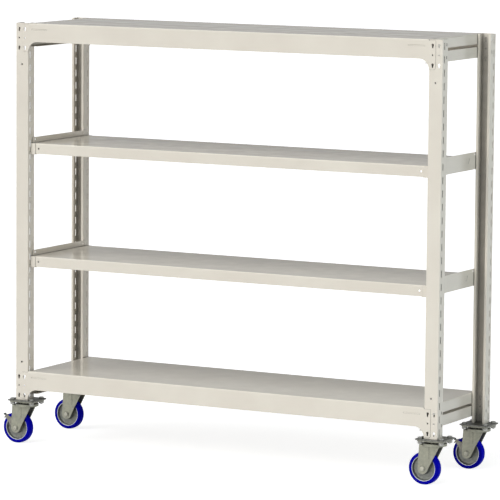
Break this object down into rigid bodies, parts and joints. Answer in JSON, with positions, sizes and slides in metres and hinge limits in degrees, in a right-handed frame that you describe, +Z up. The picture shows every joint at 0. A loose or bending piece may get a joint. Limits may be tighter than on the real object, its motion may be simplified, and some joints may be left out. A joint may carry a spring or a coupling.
{
  "type": "mobile shelving rack",
  "caption": "Boltless steel shelving rack with folded steel shelves between slotted channel posts, on swivel casters with blue treads, some with a brake pedal.",
  "frame": {"origin": "on the floor, at the centre of the bounding box; the wheels' lowest points are at z 0", "axes": "+X to the right along the shelves, +Y from the front to the back, +Z up"},
  "size_m": [1.962, 0.5, 1.68],
  "materials": {
    "post_paint": "semi-gloss powder coat",
    "shelf_paint": "semi-gloss powder coat",
    "bracket_paint": "semi-gloss powder coat",
    "stiffener_steel": "semi-gloss powder coat",
    "stud_steel": "zinc plated",
    "base_plate_paint": "powder coat",
    "zinc_pressing": "dull zinc plate",
    "fastener_zinc": "bright zinc plate",
    "axle_steel": "zinc plated",
    "ball_steel": "polished",
    "bearing_steel": "ground",
    "hub_casting": "grey paint",
    "blue_tread": "smooth elastic rubber",
    "lever_zinc": "dull zinc plate",
    "cap_plastic": "moulded"
  },
  "bodies": {
    "rack": {"base_plate_front_left": "base_plate_paint", "base_plate_front_right": "base_plate_paint", "base_plate_rear_left": "base_plate_paint", "base_plate_rear_right": "base_plate_paint", "bottom_beam_left": "bracket_paint", "bottom_beam_right": "bracket_paint", "bottom_shelf": "shelf_paint", "bottom_shelf_stiffeners": "stiffener_steel", "caster_bolts": "fastener_zinc", "caster_nuts": "fastener_zinc", "caster_plate_front_left": "zinc_pressing", "caster_plate_front_right": "zinc_pressing", "caster_plate_rear_left": "zinc_pressing", "caster_plate_rear_right": "zinc_pressing", "caster_washers": "fastener_zinc", "king_pins": "zinc_pressing", "lower_middle_shelf": "shelf_paint", "lower_middle_shelf_stiffeners": "stiffener_steel", "lower_middle_support_left": "bracket_paint", "lower_middle_support_right": "bracket_paint", "post_front_left": "post_paint", "post_front_right": "post_paint", "post_rear_left": "post_paint", "post_rear_right": "post_paint", "shelf_hook_studs": "stud_steel", "swivel_balls": "ball_steel", "top_beam_left": "bracket_paint", "top_beam_right": "bracket_paint", "top_shelf": "shelf_paint", "top_shelf_stiffeners": "stiffener_steel", "upper_middle_shelf": "shelf_paint", "upper_middle_shelf_stiffeners": "stiffener_steel", "upper_middle_support_left": "bracket_paint", "upper_middle_support_right": "bracket_paint"},
    "swivel_front_left": {"fork_front_left": "zinc_pressing", "axle_front_left": "axle_steel"},
    "wheel_front_left": {"wheel_hub_front_left": "hub_casting", "wheel_tyre_front_left": "blue_tread", "wheel_bearings_front_left": "bearing_steel"},
    "brake_front_left": {"brake_lever_front_left": "lever_zinc", "brake_pedal_cap_front_left": "cap_plastic"},
    "swivel_front_right": {"fork_front_right": "zinc_pressing", "axle_front_right": "axle_steel"},
    "wheel_front_right": {"wheel_hub_front_right": "hub_casting", "wheel_tyre_front_right": "blue_tread", "wheel_bearings_front_right": "bearing_steel"},
    "swivel_rear_left": {"fork_rear_left": "zinc_pressing", "axle_rear_left": "axle_steel"},
    "wheel_rear_left": {"wheel_hub_rear_left": "hub_casting", "wheel_tyre_rear_left": "blue_tread", "wheel_bearings_rear_left": "bearing_steel"},
    "swivel_rear_right": {"fork_rear_right": "zinc_pressing", "axle_rear_right": "axle_steel"},
    "wheel_rear_right": {"wheel_hub_rear_right": "hub_casting", "wheel_tyre_rear_right": "blue_tread", "wheel_bearings_rear_right": "bearing_steel"},
    "brake_rear_right": {"brake_lever_rear_right": "lever_zinc", "brake_pedal_cap_rear_right": "cap_plastic"}
  },
  "joints": [
    {"name": "swivel_front_left", "type": "hinge", "parent": "rack", "child": "swivel_front_left", "pos_m": [-0.8785, -0.196, 0.16], "axis": [0, 0, 1], "continuous": true},
    {"name": "wheel_front_left", "type": "hinge", "parent": "swivel_front_left", "child": "wheel_front_left", "pos_m": [-0.9185, -0.196, 0.0625], "axis": [0, 1, 0], "continuous": true},
    {"name": "brake_front_left", "type": "hinge", "parent": "swivel_front_left", "child": "brake_front_left", "pos_m": [-0.91528, -0.196, 0.06756], "axis": [0, -1, 0], "range_deg": [0, 15]},
    {"name": "swivel_front_right", "type": "hinge", "parent": "rack", "child": "swivel_front_right", "pos_m": [0.9215, -0.196, 0.16], "axis": [0, 0, 1], "continuous": true},
    {"name": "wheel_front_right", "type": "hinge", "parent": "swivel_front_right", "child": "wheel_front_right", "pos_m": [0.8815, -0.196, 0.0625], "axis": [0, 1, 0], "continuous": true},
    {"name": "swivel_rear_left", "type": "hinge", "parent": "rack", "child": "swivel_rear_left", "pos_m": [-0.8785, 0.196, 0.16], "axis": [0, 0, 1], "continuous": true},
    {"name": "wheel_rear_left", "type": "hinge", "parent": "swivel_rear_left", "child": "wheel_rear_left", "pos_m": [-0.9185, 0.196, 0.0625], "axis": [0, 1, 0], "continuous": true},
    {"name": "swivel_rear_right", "type": "hinge", "parent": "rack", "child": "swivel_rear_right", "pos_m": [0.9215, 0.196, 0.16], "axis": [0, 0, 1], "continuous": true},
    {"name": "wheel_rear_right", "type": "hinge", "parent": "swivel_rear_right", "child": "wheel_rear_right", "pos_m": [0.8815, 0.196, 0.0625], "axis": [0, 1, 0], "continuous": true},
    {"name": "brake_rear_right", "type": "hinge", "parent": "swivel_rear_right", "child": "brake_rear_right", "pos_m": [0.88472, 0.196, 0.06756], "axis": [0, -1, 0], "range_deg": [0, 15]}
  ]
}
